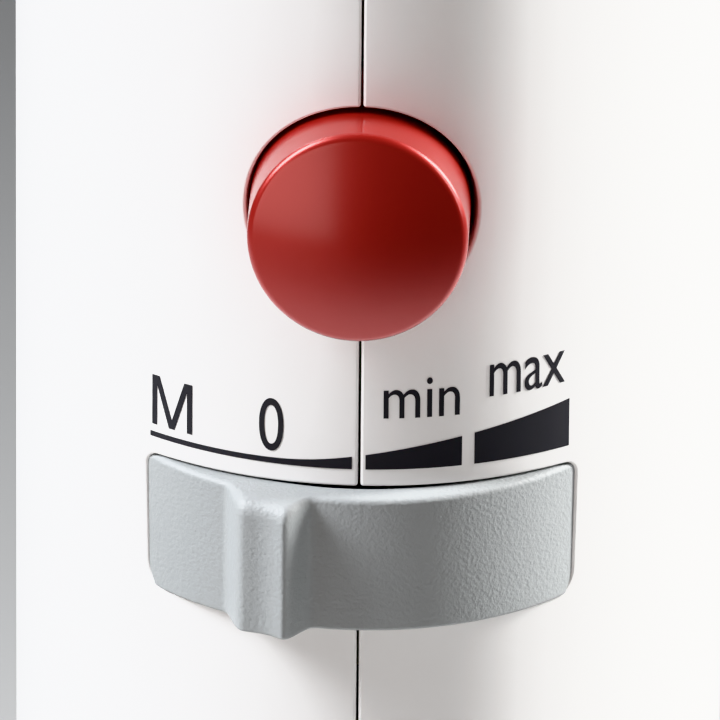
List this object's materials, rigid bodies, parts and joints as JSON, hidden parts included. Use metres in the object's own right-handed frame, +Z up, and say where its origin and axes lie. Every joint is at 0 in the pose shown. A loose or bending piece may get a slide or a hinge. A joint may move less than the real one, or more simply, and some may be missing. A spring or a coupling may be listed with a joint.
{
  "type": "immersion blender",
  "caption": "Upright hand blender: round white handle with a speed drum and red release button, and a pull-off steel foot with bell guard and blade.",
  "frame": {"origin": "middle of the bell's rim, on the surface the blender stands on", "axes": "+Z up along the handle's axis, controls face -Y, +X to the right seen from the controls"},
  "size_m": [0.072, 0.0736, 0.4024],
  "materials": {
    "white_shell": "semi-gloss moulded",
    "grey_drum": "fine spark texture",
    "red_button": "polished moulded",
    "grey_collar": "fine spark texture",
    "stainless": "brushed and polished",
    "blade_steel": "ground",
    "shaft_steel": "ground",
    "black_rubber": "moulded",
    "copper": "enamelled wire",
    "lamination": "stacked sheet",
    "bronze": "sintered",
    "brass": "turned",
    "black_plastic": "moulded",
    "natural_nylon": "moulded",
    "board_green": "solder-resist",
    "aluminium": "extruded",
    "carbon": "sintered",
    "wire_blue": "insulated"
  },
  "bodies": {
    "handle": {"housing_left": "white_shell", "housing_right": "white_shell", "top_cap": "white_shell", "housing_pins": "shaft_steel", "cord_gland": "black_rubber", "cord_clamp": "natural_nylon", "clamp_screws": "shaft_steel", "terminal_block": "natural_nylon", "supply_leads": "wire_blue", "drum_cradle": "natural_nylon", "drum_pivot_pin": "shaft_steel", "control_board": "board_green", "speed_sensor": "black_plastic", "capacitor": "black_plastic", "heat_sink": "aluminium", "choke_coil": "copper", "button_guide": "natural_nylon", "motor_frame_lower": "black_plastic", "motor_frame_upper": "black_plastic", "bearing_lower": "shaft_steel", "bearing_upper": "shaft_steel", "stator_core": "lamination", "field_coils": "copper", "motor_bolts": "shaft_steel", "motor_dampers": "black_rubber", "brush_holders": "brass", "carbon_brushes": "carbon", "motor_leads": "wire_blue", "socket_sleeve": "natural_nylon", "socket_screws": "shaft_steel", "button_spring": "shaft_steel"},
    "drum": {"speed_drum": "grey_drum", "drum_wiper": "brass"},
    "button": {"eject_button": "red_button", "button_plunger": "natural_nylon"},
    "ejector": {"ejector_rod": "natural_nylon", "ejector_ring": "natural_nylon"},
    "rotor": {"motor_shaft": "shaft_steel", "rotor_core": "lamination", "rotor_windings": "copper", "commutator": "brass", "cooling_fan": "black_plastic", "drive_coupler": "black_plastic"},
    "foot": {"foot_collar": "grey_collar", "foot_tube": "stainless", "bell_guard": "stainless", "seal_carrier": "black_plastic", "shaft_seal": "black_rubber", "bush_lower": "bronze", "bush_upper": "bronze", "neck_o_ring": "black_rubber"},
    "spindle": {"drive_shaft": "shaft_steel", "driven_coupler": "black_plastic", "blade": "blade_steel", "blade_spacer": "black_plastic", "blade_nut": "blade_steel", "shaft_circlip": "shaft_steel"}
  },
  "joints": [
    {"name": "speed_turn", "type": "hinge", "parent": "handle", "child": "drum", "pos_m": [0, -0.0094, 0.313], "axis": [0, 0, 1], "range_deg": [-20, 50]},
    {"name": "button_press", "type": "slide", "parent": "handle", "child": "button", "axis": [0, 1, 0], "range_m": [0, 0.004], "stiffness_N_per_m": 700, "springref_m": -0.002, "deforming": ["button_spring"]},
    {"name": "ejector_drop", "type": "slide", "parent": "handle", "child": "ejector", "axis": [0, 0, -1], "range_m": [0, 0.004]},
    {"name": "motor_spin", "type": "hinge", "parent": "handle", "child": "rotor", "pos_m": [0, 0, 0.26], "axis": [0, 0, 1], "continuous": true},
    {"name": "foot_pull", "type": "slide", "parent": "ejector", "child": "foot", "axis": [0, 0, -1], "range_m": [0, 0.05]},
    {"name": "blade_spin", "type": "hinge", "parent": "foot", "child": "spindle", "pos_m": [0, 0, 0.1], "axis": [0, 0, 1], "continuous": true}
  ],
  "couplings": [
    {"joint": "ejector_drop", "follows": "button_press", "ratio": 1},
    {"joint": "blade_spin", "follows": "motor_spin", "ratio": 1}
  ]
}
